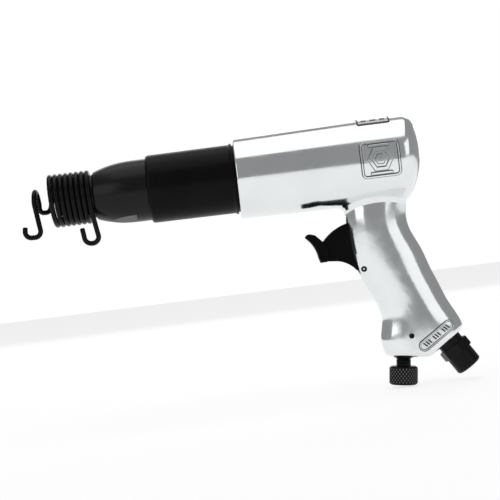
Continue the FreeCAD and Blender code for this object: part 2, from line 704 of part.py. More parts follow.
# ------------------------------------------------------------ inlet
def inlet_bushing():
    """Air inlet bushing: threaded shank, collar, hexagon and a round end with a female thread."""
    round_part = turned([
        (-THREAD_SHANK_LEN, 0), (-THREAD_SHANK_LEN, THREAD_SHANK_R - 1),
        (-THREAD_SHANK_LEN + 1, THREAD_SHANK_R), (0, THREAD_SHANK_R), (0, COLLAR_R),
        (COLLAR_U, COLLAR_R), (HEX_U, BUSHING_R), (BUSHING_U - 1, BUSHING_R),
        (BUSHING_U, BUSHING_R - 1), (BUSHING_U, 0),
    ])
    corner = HEX_AF / math.sqrt(3)
    points = []
    for i in range(7):
        angle = math.radians(60 * i - HEX_TURN)
        points.append(V(COLLAR_U, corner * math.sin(angle), corner * math.cos(angle)))
    hexagon = Part.Face(Part.makePolygon(points)).extrude(V(HEX_U - COLLAR_U, 0, 0))
    chamfer = 0.9
    hexagon = hexagon.common(turned([
        (COLLAR_U, 0), (COLLAR_U, corner - chamfer), (COLLAR_U + 0.6, corner + 0.1),
        (HEX_U - 0.6, corner + 0.1), (HEX_U, corner - chamfer), (HEX_U, 0),
    ]))
    thread_u = BUSHING_U - INLET_BORE_LEN
    screen_u = thread_u - SCREEN_SEAT_LEN
    bore = turned([
        (-THREAD_SHANK_LEN - 1, 0), (-THREAD_SHANK_LEN - 1, 4.4), (screen_u, 4.4), (screen_u, SCREEN_R),
        (thread_u, SCREEN_R), (thread_u, INLET_BORE_R), (BUSHING_U - 0.8, INLET_BORE_R),
        (BUSHING_U + 0.2, INLET_BORE_R + 1), (BUSHING_U + 0.2, 0),
    ])
    return on_inlet(round_part.fuse(hexagon).removeSplitter().cut(bore))


def inlet_screen():
    """Perforated disc that keeps grit out, inside the bushing."""
    floor = BUSHING_U - INLET_BORE_LEN - SCREEN_SEAT_LEN
    screen = Part.makeCylinder(SCREEN_R - FIT_GAP, SCREEN_T, V(floor + 0.02, 0, 0), X_DIR)
    holes = []
    for ring_r, count in ((0, 1), (1.8, 6), (3.4, 12)):
        for i in range(count):
            angle = 2 * math.pi * i / count
            y = ring_r * math.cos(angle)
            z = ring_r * math.sin(angle)
            holes.append(rod(SCREEN_HOLE_R, V(floor - 1, y, z), V(floor + 2, y, z)))
    return on_inlet(screen.cut(holes))


def screen_ring():
    """Spring ring that holds the screen down."""
    floor = BUSHING_U - INLET_BORE_LEN - SCREEN_SEAT_LEN + SCREEN_T + 0.05
    top = floor + SCREEN_RING_T
    outer = SCREEN_R - FIT_GAP
    ring = turned([(floor, outer - 0.9), (floor, outer), (top, outer), (top, outer - 0.9)])
    return on_inlet(ring.cut(Part.makeBox(4, 1.5, 8, V(floor - 1, -0.75, 0))))


# ------------------------------------------------------------ chisel retainer
def coil_point(angle, radius):
    """Point of the coil's centreline, and its direction there, at an angle in degrees."""
    turn = math.radians(angle)
    x = COIL_START_X + COIL_PITCH * (angle - COIL_START) / 360
    rise = COIL_PITCH / (2 * math.pi)
    point = V(x, radius * math.cos(turn), radius * math.sin(turn))
    way = V(rise, -radius * math.sin(turn), radius * math.cos(turn))
    return point, way.normalize()


def coil_arc(start, sweep):
    """Stretch of the coil's centreline, from a start angle over a sweep in degrees."""
    rise = COIL_PITCH * sweep / 360
    x = coil_point(start, COIL_R)[0].x
    turn = math.radians(start)
    place = FreeCAD.Matrix(0, 0, 1, x, math.cos(turn), -math.sin(turn), 0, 0,
                           math.sin(turn), math.cos(turn), 0, 0, 0, 0, 0, 1)
    helix = Part.makeHelix(COIL_PITCH, rise, COIL_R)
    helix.Placement = FreeCAD.Placement(place)
    return helix.Edges[0]


def retainer_coil():
    """Coil round the nose, ending in a finger hook below it."""
    sweep = (COIL_END - COIL_START) / COIL_ARCS
    arcs = [coil_arc(COIL_START + i * sweep, sweep) for i in range(COIL_ARCS)]
    coil = wire_solid(arcs, WIRE_R)
    end, way = coil_point(COIL_END, COIL_R)
    down = V(0, way.y, way.z).normalize()
    low = (HOOK_LOW_Z - end.z) / down.z
    leave = end.add(way * 3)
    corner_in = V(21.0, end.y + down.y * low, HOOK_LOW_Z)
    corner_out = V(11.3, corner_in.y, HOOK_LOW_Z)
    tip = end.add(down * (low - HOOK_TIP_RISE))
    tip.x = 10.5
    radii = [COIL_LEAVE_R, HOOK_BEND_R, HOOK_BEND_R]
    hook = wire_solid(rounded_path([end, leave, corner_in, corner_out, tip], radii), WIRE_R)
    return coil.fuse(hook)


def retainer_latch():
    """Arch in front of the bore that holds the chisel, with its own hook."""
    start = coil_point(COIL_START, COIL_R)[0]
    away = LATCH_LOW.sub(start).normalize()
    begin = start.add(away * LATCH_GAP)
    far_low = V(-18.4, 9.4, LATCH_LOW.z)
    arch_far = V(-18.1, ARCH_R, ARCH_Z)
    arch_top = V(-18.6, 0, ARCH_Z + ARCH_R)
    arch_near = V(-19.4, -ARCH_R, ARCH_Z)
    near_low = V(-16.8, -ARCH_R, -22.8)
    hook_low = V(-28.2, -ARCH_R, -22.6)
    hook_tip = V(-27.3, -ARCH_R, -16.0)
    edges = rounded_path([begin, LATCH_LOW, far_low, arch_far], [LATCH_BEND_R, LATCH_BEND_R])
    edges.append(Part.Arc(arch_far, arch_top, arch_near).toShape())
    edges += rounded_path([arch_near, near_low, hook_low, hook_tip], [FRONT_HOOK_R, FRONT_HOOK_R])
    return wire_solid(edges, WIRE_R)


# ------------------------------------------------------------ output
NODES = [
    barrel, barrel_sleeve, barrel_oring, piston, valve_case_front, valve_case_rear, valve_disc,
    rear_gasket, handle_housing, name_plate, trigger, trigger_pin, throttle_bushing,
    throttle_plunger, plunger_oring, valve_seal, throttle_valve, throttle_spring, air_regulator,
    regulator_oring, regulator_pin, inlet_bushing, inlet_screen, screen_ring, retainer_coil,
    retainer_latch,
]


def main():
    os.makedirs("parts", exist_ok=True)
    shapes = {build.__name__: build() for build in NODES}
    shapes["valve_dowels"] = dowel_rods()
    for name, shape in shapes.items():
        shape.exportStep("parts/" + name + ".step")
        box = shape.BoundBox
        print("%-18s valid %s solids %d volume %9.1f  x %7.1f %7.1f  y %6.1f %6.1f  z %7.1f %7.1f" % (
            name, shape.isValid(), len(shape.Solids), shape.Volume,
            box.XMin, box.XMax, box.YMin, box.YMax, box.ZMin, box.ZMax))


main()
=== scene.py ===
import json
import math

import bmesh
import bpy
import numpy as np
from mathutils import Matrix, Vector
from mathutils.bvhtree import BVHTree


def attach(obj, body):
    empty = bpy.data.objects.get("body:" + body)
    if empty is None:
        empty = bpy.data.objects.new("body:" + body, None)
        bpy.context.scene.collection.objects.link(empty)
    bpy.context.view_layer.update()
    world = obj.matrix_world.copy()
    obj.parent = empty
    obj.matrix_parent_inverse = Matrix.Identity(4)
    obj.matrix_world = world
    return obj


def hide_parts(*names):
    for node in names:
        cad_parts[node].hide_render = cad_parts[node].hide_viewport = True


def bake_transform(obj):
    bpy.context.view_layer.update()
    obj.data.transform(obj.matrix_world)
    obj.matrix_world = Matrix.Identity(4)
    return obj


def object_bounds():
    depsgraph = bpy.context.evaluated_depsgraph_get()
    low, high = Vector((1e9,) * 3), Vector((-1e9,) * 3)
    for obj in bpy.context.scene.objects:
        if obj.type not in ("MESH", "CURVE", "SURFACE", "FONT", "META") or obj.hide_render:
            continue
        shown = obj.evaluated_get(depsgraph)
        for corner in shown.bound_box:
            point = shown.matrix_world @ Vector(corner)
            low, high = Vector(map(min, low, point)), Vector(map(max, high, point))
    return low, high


# Looks of the pneumatic air hammer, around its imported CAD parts. Metres, in the CAD frame:
# the barrel along X with its nose towards -X, Z up, and the camera on the -Y side.

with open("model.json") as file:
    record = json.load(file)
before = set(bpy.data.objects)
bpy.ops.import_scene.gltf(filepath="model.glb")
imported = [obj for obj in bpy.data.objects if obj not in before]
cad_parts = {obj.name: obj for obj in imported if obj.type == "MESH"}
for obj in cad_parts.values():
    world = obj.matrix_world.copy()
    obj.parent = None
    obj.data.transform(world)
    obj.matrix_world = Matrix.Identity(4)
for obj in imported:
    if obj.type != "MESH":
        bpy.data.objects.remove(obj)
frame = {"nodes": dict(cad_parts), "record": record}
nodes = frame["nodes"]
CAD_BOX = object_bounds()

MM = 0.001

# Chisel retainer wire, as in the CAD
WIRE_R = 1.7 * MM
COIL_R = 16.3 * MM
COIL_PITCH = 3.57 * MM
COIL_START = 20.0                # degrees about +X from +Y
COIL_END = 200.0 + 7 * 360.0
COIL_START_X = -8.7 * MM
COIL_STEP = 7.5                  # degrees between the wire's rings
HOOK_LOW_Z = -31.2 * MM
ARCH_R = 8.2 * MM
ARCH_Z = -0.5 * MM

# Regulator knob, as in the CAD: u runs out of the grip's bottom face
REG_BASE = Vector((212.7, 0, -131.6)) * MM
REG_TILT = math.radians(-7.1)
KNOB_R = 9.55 * MM
KNOB_FACE_U = 6.8 * MM
KNOB_END_U = 19.3 * MM
KNOB_CHAMFER = 1.2 * MM
KNURL_COUNT = 26
KNURL_PITCH = 2.9 * MM
KNURL_DEPTH = 0.5 * MM

# Name plate
PLATE_MIDDLE_X = 210.5 * MM
PLATE_R = 29.0 * MM
PRINT_LENGTH = 19.8 * MM
PRINT_WIDTH = 30.2 * MM
MARK_ROW_OFFSET = 11.0 * MM
MARK_WIDTH = 3.2 * MM
OUTER_MARK_OFFSET = 6.2 * MM
OUTER_MARK_LENGTH = 3.6 * MM
MIDDLE_MARK_LENGTH = 4.0 * MM

# Cross holes for the trigger's pin and the regulator's pin
PIVOT_X = 193.0 * MM
PIVOT_Z = -70.5 * MM
PIN_BRIGHT_R = 0.6 * MM
REG_PIN_X = 218.35 * MM
REG_PIN_Z = -118.20 * MM
SHADE_RING_REACH = 0.15 * MM      # outside the hole, where the housing's surface is looked up
SHADE_RING_SINK = 0.15 * MM

# Throttle spring, as in the CAD
SPRING_START_X = 215.8 * MM
SPRING_END_X = 223.45 * MM
SPRING_R = 2.9 * MM
SPRING_WIRE_R = 0.45 * MM
SPRING_TURNS = 5
THROTTLE_Z = -52.0 * MM

# Inlet thread
INLET_BASE = Vector((243.5, 0, -124.4)) * MM
INLET_TILT = math.radians(32.6)
INLET_END_U = 22.9 * MM
INLET_BORE_R = 5.9 * MM
THREAD_PITCH = 1.41 * MM

# Camera
CAMERA_TARGET = Vector((0.1193, 0.0, -0.0486))
CAMERA_DISTANCE = 1.14
VIEW_WIDTH = 0.335           # width of the frame at the target's distance
CAMERA_ROLL = math.radians(7.1)
SENSOR_WIDTH = 36.0          # in millimetres, as Blender takes it


# ---------------------------------------------------------------- node helpers
class Nodes:
    """Short calls for building a shader's node tree."""

    def __init__(self, tree):
        self.tree = tree
        tree.nodes.clear()

    def add(self, kind, **settings):
        node = self.tree.nodes.new("ShaderNode" + kind)
        for name, value in settings.items():
            setattr(node, name, value)
        return node

    def link(self, source, target):
        self.tree.links.new(source, target)

    def feed(self, socket, value):
        """Links an output to a socket, or sets the socket's own value."""
        if isinstance(value, bpy.types.NodeSocket):
            self.link(value, socket)
        else:
            socket.default_value = value

    def math(self, operation, *values, clamp=False):
        node = self.add("Math", operation=operation, use_clamp=clamp)
        for socket, value in zip(node.inputs, values):
            self.feed(socket, value)
        return node.outputs[0]

    def noise(self, vector, scale, detail=3.0, roughness=0.5):
        node = self.add("TexNoise")
        self.link(vector, node.inputs["Vector"])
        node.inputs["Scale"].default_value = scale
        node.inputs["Detail"].default_value = detail
        node.inputs["Roughness"].default_value = roughness
        return node.outputs["Fac"]

    def spread(self, value, low, high, new_low, new_high):
        """Maps low..high onto new_low..new_high."""
        node = self.add("MapRange")
        ends = (("From Min", low), ("From Max", high), ("To Min", new_low), ("To Max", new_high))
        for name, number in ends:
            node.inputs[name].default_value = number
        self.link(value, node.inputs["Value"])
        return node.outputs["Result"]

    def mix_colour(self, factor, first, second):
        node = self.add("Mix", data_type="RGBA")
        self.feed(node.inputs["Factor"], factor)
        self.feed(node.inputs["A"], first)
        self.feed(node.inputs["B"], second)
        return node.outputs["Result"]

    def bump(self, height, distance, strength=1.0, normal=None):
        node = self.add("Bump")
        node.inputs["Strength"].default_value = strength
        node.inputs["Distance"].default_value = distance
        self.link(height, node.inputs["Height"])
        if normal is not None:
            self.link(normal, node.inputs["Normal"])
        return node.outputs["Normal"]


def new_material(name):
    """A material with a Principled shader, its node helper and its object coordinates."""
    material = bpy.data.materials.new(name)
    material.use_nodes = True
    tree = Nodes(material.node_tree)
    shader = tree.add("BsdfPrincipled")
    output = tree.add("OutputMaterial")
    tree.link(shader.outputs["BSDF"], output.inputs["Surface"])
    place = tree.add("TexCoord").outputs["Object"]
    return material, tree, shader, place


def grey(value, tint=0.0):
    """A grey, tinted a little towards blue."""
    return (value * (1 - tint), value, value * (1 + tint), 1.0)


def surface(name, dark, light, rough, metallic=0.0, grain=900.0, grain_depth=0.02 * MM,
            wave=0.0, wave_scale=60.0, turned=0.0, specular=0.5, shade=None):
    """Metal, rubber or plastic: two mixed tones, uneven roughness, fine grain, and optional lathe marks.

    shade is the colour where the mesh's own shade attribute is 1.
    """
    material, tree, shader, place = new_material(name)
    broad = tree.noise(place, 45.0, 4.0)
    fine = tree.noise(place, grain, 2.0, 0.6)
    tone = tree.math("ADD", tree.math("MULTIPLY", broad, 0.7), tree.math("MULTIPLY", fine, 0.3))
    tone = tree.spread(tone, 0.35, 0.65, 0.0, 1.0)
    colour = tree.mix_colour(tone, dark, light)
    if shade:
        amount = tree.add("Attribute", attribute_name="shade").outputs["Fac"]
        colour = tree.mix_colour(amount, colour, shade)
    tree.link(colour, shader.inputs["Base Color"])
    tree.link(tree.spread(tree.noise(place, 130.0, 3.0), 0.3, 0.7, rough[0], rough[1]),
              shader.inputs["Roughness"])
    shader.inputs["Metallic"].default_value = metallic
    shader.inputs["Specular IOR Level"].default_value = specular
    normal = tree.bump(fine, grain_depth)
    if wave:
        normal = tree.bump(tree.noise(place, wave_scale, 1.0), wave, 1.0, normal)
    if turned:
        rings = tree.add("TexWave", wave_type="BANDS", bands_direction="X", wave_profile="SIN")
        tree.link(place, rings.inputs["Vector"])
        rings.inputs["Scale"].default_value = 450.0
        rings.inputs["Distortion"].default_value = 1.5
        rings.inputs["Detail"].default_value = 2.0
        normal = tree.bump(rings.outputs["Fac"], turned, 1.0, normal)
    tree.link(normal, shader.inputs["Normal"])
    return material


# ---------------------------------------------------------------- materials
ALUMINIUM_DARK = (0.79, 0.82, 0.83, 1)
ALUMINIUM_LIGHT = (0.83, 0.86, 0.87, 1)
polished = surface("polished_aluminium", ALUMINIUM_DARK, ALUMINIUM_LIGHT, (0.11, 0.17), metallic=1.0,
                   grain=1400.0, grain_depth=0.004 * MM, wave=0.05 * MM, wave_scale=40.0)
# polished_relief turns to its dark shade colour on the steep sides of raised marks: painted shade.
relief = surface("polished_relief", ALUMINIUM_DARK, ALUMINIUM_LIGHT, (0.14, 0.20), metallic=1.0,
                 grain=1400.0, grain_depth=0.004 * MM, wave=0.05 * MM, wave_scale=40.0,
                 shade=(0.05, 0.06, 0.06, 1))
blued = surface("blued_steel", grey(0.003), grey(0.006), (0.24, 0.30), grain=700.0, grain_depth=0.008 * MM,
                turned=0.001 * MM, specular=0.2)
oxide = surface("black_oxide", grey(0.002), grey(0.004), (0.32, 0.40), grain=1200.0, grain_depth=0.004 * MM,
                specular=0.15)
# The knob's knurl crests turn grey 0.20 through the shade attribute: a painted highlight on the crest tops.
knurled = surface("black_oxide_knurled", grey(0.002), grey(0.004), (0.26, 0.36), grain=1200.0,
                  grain_depth=0.01 * MM, specular=0.10, shade=grey(0.20))
wire = surface("spring_wire", grey(0.002), grey(0.004), (0.18, 0.24), grain=1500.0, grain_depth=0.003 * MM,
               specular=0.12)
satin = surface("sleeve_rubber", grey(0.002), grey(0.004), (0.30, 0.36), grain=1100.0,
                grain_depth=0.012 * MM, specular=0.08)
moulded = surface("trigger_black", grey(0.002), grey(0.004), (0.34, 0.46), grain=1600.0,
                  grain_depth=0.012 * MM, specular=0.05)
seal = surface("seal_rubber", grey(0.014), grey(0.022), (0.5, 0.65), grain=900.0)
tool_steel = surface("tool_steel", grey(0.40), grey(0.52), (0.25, 0.4), metallic=1.0, turned=0.006 * MM)
pin_steel = surface("pin_steel", grey(0.55), grey(0.68), (0.2, 0.32), metallic=1.0)
brass = surface("brass", (0.55, 0.38, 0.13, 1), (0.70, 0.50, 0.20, 1), (0.25, 0.4), metallic=1.0)



def pivot_pin_with_painted_shade():
    """Steel pin end, bright in the middle, with a black ring round it: painted shade for the dark gap round
    the pin in its hole.
    """
    material, tree, shader, place = new_material("pivot_pin")
    parts = tree.add("SeparateXYZ")
    tree.link(place, parts.inputs[0])
    along = tree.math("SUBTRACT", parts.outputs["X"], PIVOT_X)
    height = tree.math("SUBTRACT", parts.outputs["Z"], PIVOT_Z)
    square = tree.math("ADD", tree.math("POWER", along, 2.0), tree.math("POWER", height, 2.0))
    distance = tree.math("SQRT", square)
    # Black ring round the bright middle: painted shade of the hole.
    rim = tree.spread(distance, PIN_BRIGHT_R, PIN_BRIGHT_R + 0.2 * MM, 0.0, 1.0)
    tree.link(tree.mix_colour(rim, grey(0.85), grey(0.002)), shader.inputs["Base Color"])
    tree.link(tree.math("SUBTRACT", 1.0, rim), shader.inputs["Metallic"])
    fine = tree.noise(place, 1500.0, 2.0)
    tree.link(tree.spread(fine, 0.3, 0.7, 0.25, 0.35), shader.inputs["Roughness"])
    shader.inputs["Specular IOR Level"].default_value = 0.05
    return material


def plate_material():
    """Bright foil with a dark border and two rows of three plain printed marks."""
    material, tree, shader, place = new_material("printed_plate")
    parts = tree.add("SeparateXYZ")
    tree.link(place, parts.inputs[0])
    along = tree.math("ABSOLUTE", tree.math("SUBTRACT", parts.outputs["X"], PLATE_MIDDLE_X))
    turn = tree.math("ABSOLUTE", tree.math("ARCTAN2", parts.outputs["Y"], parts.outputs["Z"]))
    across = tree.math("MULTIPLY", turn, PLATE_R)
    border = tree.math("MAXIMUM", tree.math("GREATER_THAN", along, PRINT_LENGTH / 2),
                       tree.math("GREATER_THAN", across, PRINT_WIDTH / 2))
    from_row = tree.math("ABSOLUTE", tree.math("SUBTRACT", across, MARK_ROW_OFFSET))
    rows = tree.math("LESS_THAN", from_row, MARK_WIDTH / 2)
    from_outer = tree.math("ABSOLUTE", tree.math("SUBTRACT", along, OUTER_MARK_OFFSET))
    outer_marks = tree.math("LESS_THAN", from_outer, OUTER_MARK_LENGTH / 2)
    middle_mark = tree.math("LESS_THAN", along, MIDDLE_MARK_LENGTH / 2)
    marks = tree.math("MULTIPLY", rows, tree.math("MAXIMUM", outer_marks, middle_mark))
    print_cover = tree.math("MAXIMUM", border, marks)
    tree.link(tree.mix_colour(print_cover, grey(0.84), grey(0.03)), shader.inputs["Base Color"])
    tree.link(tree.math("SUBTRACT", 1.0, print_cover), shader.inputs["Metallic"])
    fine = tree.noise(place, 1800.0, 2.0)
    tree.link(tree.spread(fine, 0.3, 0.7, 0.22, 0.30), shader.inputs["Roughness"])
    return material


SLOT_MATERIALS = {
    "polished_aluminium": polished, "blued_steel": blued, "black_oxide": oxide, "spring_wire": wire,
    "sleeve_rubber": satin, "trigger_black": moulded, "seal_rubber": seal, "tool_steel": tool_steel,
    "pin_steel": pin_steel, "brass": brass, "plate_foil": plate_material(),
}
# The regulator pin takes black oxide, not its steel, so that its hole looks dark: painted shade. The
# trigger pin's black ring is painted shade too.
NODE_MATERIALS = {"trigger_pin": pivot_pin_with_painted_shade(), "regulator_pin": oxide}
for entry in frame["record"]["subparts"]:
    data = nodes[entry["node"]].data
    data.materials.clear()
    data.materials.append(NODE_MATERIALS.get(entry["node"], SLOT_MATERIALS[entry["material_slot"]]))


# ---------------------------------------------------------------- mesh helpers
def mesh_object(name, verts, faces, material, smooth=True):
    """New mesh piece with outward normals."""
    mesh = bpy.data.meshes.new(name)
    mesh.from_pydata([tuple(vert) for vert in verts], [], faces)
    cleaner = bmesh.new()
    cleaner.from_mesh(mesh)
    bmesh.ops.recalc_face_normals(cleaner, faces=cleaner.faces)
    cleaner.to_mesh(mesh)
    cleaner.free()
    mesh.polygons.foreach_set("use_smooth", [smooth] * len(mesh.polygons))
    mesh.materials.append(material)
    piece = bpy.data.objects.new(name, mesh)
    bpy.context.scene.collection.objects.link(piece)
    return piece


def store_shade(piece, values):
    """Keeps a number for each vertex, from 0 to 1, that the material darkens or lightens by: painted shade
    on the sides of raised marks with the pad's darkened marks, and a painted highlight on the knob's knurl
    crests.
    """
    shade = piece.data.attributes.new("shade", "FLOAT", "POINT")
    shade.data.foreach_set("value", np.asarray(values, dtype=np.float32))


def ring_faces(rings, count):
    """Faces between rings of count vertices each, with both ends closed."""
    faces = []
    for ring in range(rings - 1):
        low = ring * count
        for i in range(count):
            j = (i + 1) % count
            faces.append((low + i, low + j, low + count + j, low + count + i))
    faces.append(tuple(range(count)))
    faces.append(tuple(range((rings - 1) * count, rings * count)))
    return faces


def tube(name, points, radius, material, sides=14):
    """Round wire along points, with rounded ends."""
    path = [points[0]]
    for point in points[1:]:
        if (point - path[-1]).length > 0.1 * radius:
            path.append(point)
    tangents = []
    for i in range(len(path)):
        tangents.append((path[min(i + 1, len(path) - 1)] - path[max(i - 1, 0)]).normalized())
    side = tangents[0].orthogonal().normalized()
    verts = []
    rings = 0
    for i, (point, tangent) in enumerate(zip(path, tangents)):
        side = (side - tangent * side.dot(tangent)).normalized()
        up = tangent.cross(side)
        layers = [(0.0, 1.0)]
        if i == 0:
            layers = [(-0.45, 0.45), (-0.36, 0.78), (-0.14, 0.96), (0.0, 1.0)]
        if i == len(path) - 1:
            layers = [(0.0, 1.0), (0.14, 0.96), (0.36, 0.78), (0.45, 0.45)]
        for along, scale in layers:
            for k in range(sides):
                turn = 2 * math.pi * k / sides
                spoke = side * math.cos(turn) + up * math.sin(turn)
                verts.append(point + tangent * (along * radius) + spoke * (radius * scale))
            rings += 1
    return mesh_object(name, verts, ring_faces(rings, sides), material)


def rounded_path(points, radii, step=math.radians(9)):
    """Points along straight runs, with a tangent arc of the given radius at each corner."""
    path = [points[0]]
    for before, corner, after, radius in zip(points, points[1:], points[2:], radii):
        back = (before - corner).normalized()
        ahead = (after - corner).normalized()
        half = back.angle(ahead) / 2
        bisector = (back + ahead).normalized()
        centre = corner + bisector * (radius / math.sin(half))
        start = (corner + back * (radius / math.tan(half)) - centre).normalized()
        end = (corner + ahead * (radius / math.tan(half)) - centre).normalized()
        swing = math.pi - 2 * half
        count = max(2, math.ceil(swing / step))
        for i in range(count + 1):
            path.append(centre + start.slerp(end, i / count) * radius)
    path.append(points[-1])
    return path


def along_axis(base, tilt):
    """Matrix that stands local Z on an axis that runs down from base, tilted towards +X."""
    axis = Vector((math.sin(tilt), 0, -math.cos(tilt)))
    across = Vector((0, 1, 0))
    other = across.cross(axis)
    turn = Matrix((other, across, axis)).transposed().to_4x4()
    return Matrix.Translation(base) @ turn


def smooth_step(value, low, high):
    part = np.clip((value - low) / (high - low), 0, 1)
    return part * part * (3 - 2 * part)


# ---------------------------------------------------------------- chisel retainer
def coil_point(angle):
    turn = math.radians(angle)
    x = COIL_START_X + COIL_PITCH * (angle - COIL_START) / 360
    return Vector((x, COIL_R * math.cos(turn), COIL_R * math.sin(turn)))


def rear_hook_path():
    """From the hook's tip back to the coil's last turn."""
    end = coil_point(COIL_END)
    way = (coil_point(COIL_END + 0.1) - coil_point(COIL_END - 0.1)).normalized()
    down = Vector((0, way.y, way.z)).normalized()
    low = (HOOK_LOW_Z - end.z) / down.z
    corner_y = end.y + down.y * low
    tip = end + down * (low - 10.5 * MM)
    tip.x = 10.5 * MM
    corners = [
        tip, Vector((11.3 * MM, corner_y, HOOK_LOW_Z)), Vector((21.0 * MM, corner_y, HOOK_LOW_Z)),
        end + way * 3 * MM, end,
    ]
    return rounded_path(corners, [4.5 * MM, 4.5 * MM, 20 * MM])


def front_arch_path():
    """From the coil's first turn, over the arch, to the front hook's tip."""
    lead = [coil_point(COIL_START), Vector((-12.2, 16.2, -6.4)) * MM, Vector((-18.4, 9.4, -6.4)) * MM,
            Vector((-18.1 * MM, ARCH_R, ARCH_Z))]
    path = rounded_path(lead, [3.9 * MM, 3.9 * MM])
    for i in range(1, 24):
        turn = math.pi * i / 24
        x = (-18.1 - 1.3 * i / 24) * MM
        path.append(Vector((x, ARCH_R * math.cos(turn), ARCH_Z + ARCH_R * math.sin(turn))))
    hook = [Vector((-19.4 * MM, -ARCH_R, ARCH_Z)), Vector((-16.8 * MM, -ARCH_R, -22.8 * MM)),
            Vector((-28.2 * MM, -ARCH_R, -22.6 * MM)), Vector((-27.3 * MM, -ARCH_R, -16.0 * MM))]
    return path + rounded_path(hook, [4.0 * MM, 4.0 * MM])


def retainer_wire():
    """The whole retainer as one wire: rear hook, coil, arch and front hook."""
    path = rear_hook_path()
    steps = round((COIL_END - COIL_START) / COIL_STEP)
    for i in range(steps + 1):
        path.append(coil_point(COIL_END - (COIL_END - COIL_START) * i / steps))
    path += front_arch_path()
    piece = tube("retainer_wire", path, WIRE_R, wire)
    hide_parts("retainer_coil", "retainer_latch")
    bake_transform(piece)


# ---------------------------------------------------------------- regulator knob and inlet thread
def knurl(turn, u):
    """Height of a diamond knurl below its crests, from 0 in a groove to 1 on a crest."""
    first = KNURL_COUNT * turn / (2 * math.pi) + u / KNURL_PITCH
    second = KNURL_COUNT * turn / (2 * math.pi) - u / KNURL_PITCH
    ridges = [abs(2 * (value - math.floor(value)) - 1) for value in (first, second)]
    return min(1.0, 1.5 * min(ridges))


def regulator_knob():
    """Regulator with its grooved plug, flange, neck and knurled knob, turned about its axis."""
    plug = [(-22.0, 4.7), (-15.8, 4.7), (-15.75, 2.35), (-12.25, 2.35), (-12.2, 4.7), (-7.8, 4.7),
            (-7.75, 3.5), (-6.25, 3.5), (-6.2, 4.7), (0.05, 4.7), (0.1, 6.3), (0.3, 6.6), (0.9, 6.6),
            (1.1, 6.4), (1.15, 4.95), (2.2, 4.85), (2.3, 4.6), (2.7, 4.6), (2.8, 4.85), (4.6, 4.85),
            (4.7, 4.6), (5.1, 4.6), (5.2, 4.85), (6.7, 4.85), (6.8, 5.0)]
    profile = [(u * MM, radius * MM, 0.0) for u, radius in plug]
    first = KNOB_FACE_U + KNOB_CHAMFER
    last = KNOB_END_U - KNOB_CHAMFER
    profile += [(KNOB_FACE_U, KNOB_R - KNOB_CHAMFER - 0.3 * MM, 0.0),
                (KNOB_FACE_U + 0.1 * MM, KNOB_R - KNOB_CHAMFER, 0.0)]
    rows = 46
    for i in range(rows + 1):
        u = first + (last - first) * i / rows
        profile.append((u, KNOB_R, KNURL_DEPTH * min(1.0, i / 2, (rows - i) / 2)))
    profile += [(KNOB_END_U - 0.1 * MM, KNOB_R - KNOB_CHAMFER, 0.0),
                (KNOB_END_U, KNOB_R - KNOB_CHAMFER - 0.3 * MM, 0.0), (KNOB_END_U, 3.0 * MM, 0.0),
                (KNOB_END_U - 0.6 * MM, 2.4 * MM, 0.0), (KNOB_END_U - 0.6 * MM, 0.4 * MM, 0.0)]
    count = 8 * KNURL_COUNT
    place = along_axis(REG_BASE, REG_TILT)
    verts = []
    crest_highlight = []
    for u, radius, depth in profile:
        for i in range(count):
            turn = 2 * math.pi * i / count
            height = knurl(turn, u) if depth else 0.0
            # Lighter crest tops: painted highlight.
            crest_highlight.append(max(0.0, 5 * height - 4))
            here = radius - depth * (1 - height) if depth else radius
            verts.append(place @ Vector((here * math.cos(turn), here * math.sin(turn), u)))
    piece = mesh_object("regulator_knob", verts, ring_faces(len(profile), count), knurled)
    store_shade(piece, crest_highlight)
    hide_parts("air_regulator")
    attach(piece, "regulator")


def inlet_thread():
    """Ridge of the female pipe thread on the bushing's bore."""
    place = along_axis(INLET_BASE, INLET_TILT)
    turns = 7
    per_turn = 36
    path = []
    for i in range(turns * per_turn + 1):
        turn = 2 * math.pi * i / per_turn
        u = INLET_END_U - 1.4 * MM - THREAD_PITCH * i / per_turn
        radius = INLET_BORE_R - 0.1 * MM
        path.append(place @ Vector((radius * math.cos(turn), radius * math.sin(turn), u)))
    piece = tube("inlet_thread", path, 0.5 * MM, oxide, sides=6)
    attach(piece, "tool_body")


def throttle_spring():
    """Spring behind the throttle valve."""
    steps = SPRING_TURNS * 24
    path = []
    for i in range(steps + 1):
        turn = 2 * math.pi * SPRING_TURNS * i / steps
        x = SPRING_START_X + (SPRING_END_X - SPRING_START_X) * i / steps
        path.append(Vector((x, SPRING_R * math.sin(turn), THROTTLE_Z - SPRING_R * math.cos(turn))))
    piece = tube("valve_spring", path, SPRING_WIRE_R, pin_steel, sides=10)
    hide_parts("throttle_spring")
    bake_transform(piece)


# ---------------------------------------------------------------- raised patches on the housing
def box_distance(u, v, half_u, half_v, corner):
    """Signed distance to a rectangle with round corners, negative inside."""
    over_u = np.abs(u) - (half_u - corner)
    over_v = np.abs(v) - (half_v - corner)
    outside = np.hypot(np.maximum(over_u, 0), np.maximum(over_v, 0))
    return outside + np.minimum(np.maximum(over_u, over_v), 0) - corner


def band(distance, low, high, edge):
    """1 where a distance lies between low and high, with sloping edges."""
    return smooth_step(distance, low - edge, low) * (1 - smooth_step(distance, high, high + edge))


